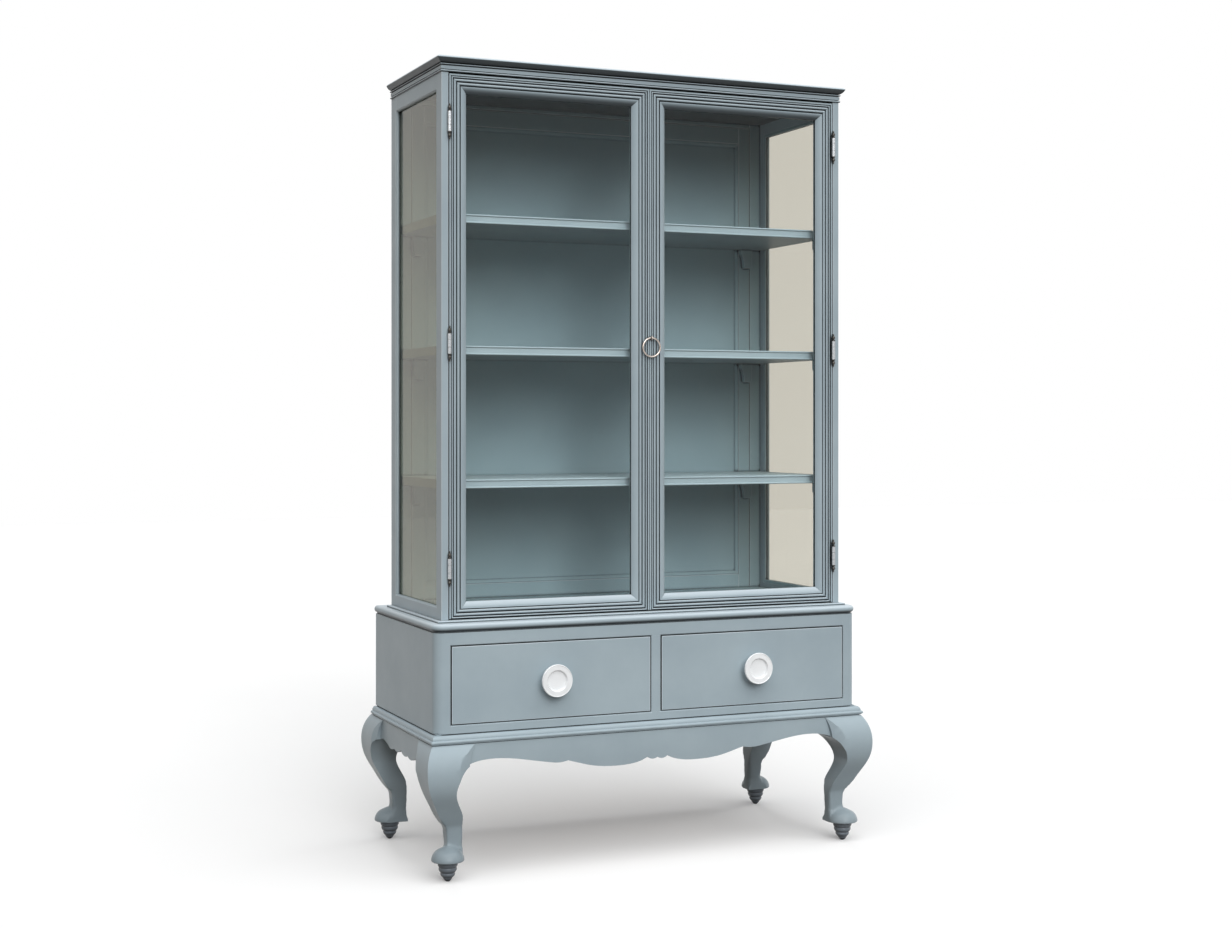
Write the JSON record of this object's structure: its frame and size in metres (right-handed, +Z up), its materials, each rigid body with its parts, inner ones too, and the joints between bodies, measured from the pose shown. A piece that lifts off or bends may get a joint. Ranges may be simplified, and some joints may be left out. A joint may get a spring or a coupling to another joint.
{
  "type": "china cabinet",
  "caption": "Glazed display cabinet: tall upper case with a pair of glass doors and shelves, on a lower case of drawers carried by a scalloped stand with cabriole legs on turned toes.",
  "frame": {"origin": "on the floor, under the middle of the cabinet's bounding box", "axes": "+X to the viewer's right, +Y to the back, +Z up; the doors and drawers face -Y"},
  "size_m": [1.106, 0.528, 1.8],
  "materials": {
    "painted_wood": "satin grey-blue paint",
    "interior_paint": "satin grey-blue paint",
    "door_glass": "clear, polished",
    "side_glass": "clear, polished, slightly warm",
    "white_ceramic": "white glaze",
    "pewter": "dark antique patina",
    "polished_steel": "polished, worn",
    "nickel": "polished, worn",
    "dark_paint": "satin dark grey paint",
    "raw_wood": "bare, sanded",
    "steel": "bright zinc"
  },
  "bodies": {
    "cabinet": {"leg_front_left": "painted_wood", "leg_front_right": "painted_wood", "leg_back_left": "painted_wood", "leg_back_right": "painted_wood", "turned_toes": "dark_paint", "apron_front": "painted_wood", "apron_sides": "painted_wood", "apron_back": "painted_wood", "leg_bolts": "steel", "base_moulding": "painted_wood", "lower_corner_posts": "painted_wood", "lower_side_panels": "painted_wood", "lower_back_panel": "raw_wood", "lower_bottom_board": "raw_wood", "drawer_rails": "painted_wood", "drawer_divider": "painted_wood", "drawer_runners": "raw_wood", "ledge_top": "painted_wood", "upper_front_posts": "painted_wood", "upper_back_posts": "painted_wood", "side_rails": "painted_wood", "side_glass": "side_glass", "side_glazing_beads": "interior_paint", "upper_floor": "interior_paint", "top_board": "painted_wood", "door_stop_rail": "interior_paint", "cornice": "painted_wood", "back_battens": "interior_paint", "back_frame": "interior_paint", "back_panel_bead": "interior_paint", "back_panel": "interior_paint", "shelf_upper": "interior_paint", "shelf_middle": "interior_paint", "shelf_lower": "interior_paint", "shelf_bearers": "interior_paint", "shelf_brackets": "interior_paint", "case_hinge_leaves": "polished_steel", "hinge_pins": "pewter"},
    "left_door": {"left_door_stiles": "painted_wood", "left_door_rails": "painted_wood", "left_door_glass": "door_glass", "left_door_beads": "interior_paint", "left_hinge_leaves": "polished_steel"},
    "right_door": {"right_door_stiles": "painted_wood", "right_door_rails": "painted_wood", "right_door_glass": "door_glass", "right_door_beads": "interior_paint", "right_hinge_leaves": "polished_steel", "ring_eye": "nickel"},
    "ring": {"pull_ring": "nickel"},
    "left_drawer": {"left_drawer_front": "painted_wood", "left_drawer_box": "raw_wood", "left_drawer_bottom": "raw_wood", "left_knob": "white_ceramic", "left_knob_screw": "steel"},
    "right_drawer": {"right_drawer_front": "painted_wood", "right_drawer_box": "raw_wood", "right_drawer_bottom": "raw_wood", "right_knob": "white_ceramic", "right_knob_screw": "steel"}
  },
  "joints": [
    {"name": "left_door_hinge", "type": "hinge", "parent": "cabinet", "child": "left_door", "pos_m": [-0.483, -0.1999, 1.17], "axis": [0, 0, -1], "range_deg": [0, 170]},
    {"name": "right_door_hinge", "type": "hinge", "parent": "cabinet", "child": "right_door", "pos_m": [0.483, -0.1999, 1.17], "axis": [0, 0, 1], "range_deg": [0, 170]},
    {"name": "pull_ring_swing", "type": "hinge", "parent": "right_door", "child": "ring", "pos_m": [0.0024, -0.2015, 1.191], "axis": [-1, 0, 0], "range_deg": [0, 110]},
    {"name": "left_drawer_slide", "type": "slide", "parent": "cabinet", "child": "left_drawer", "axis": [0, -1, 0], "range_m": [0, 0.3]},
    {"name": "right_drawer_slide", "type": "slide", "parent": "cabinet", "child": "right_drawer", "axis": [0, -1, 0], "range_m": [0, 0.3]}
  ]
}
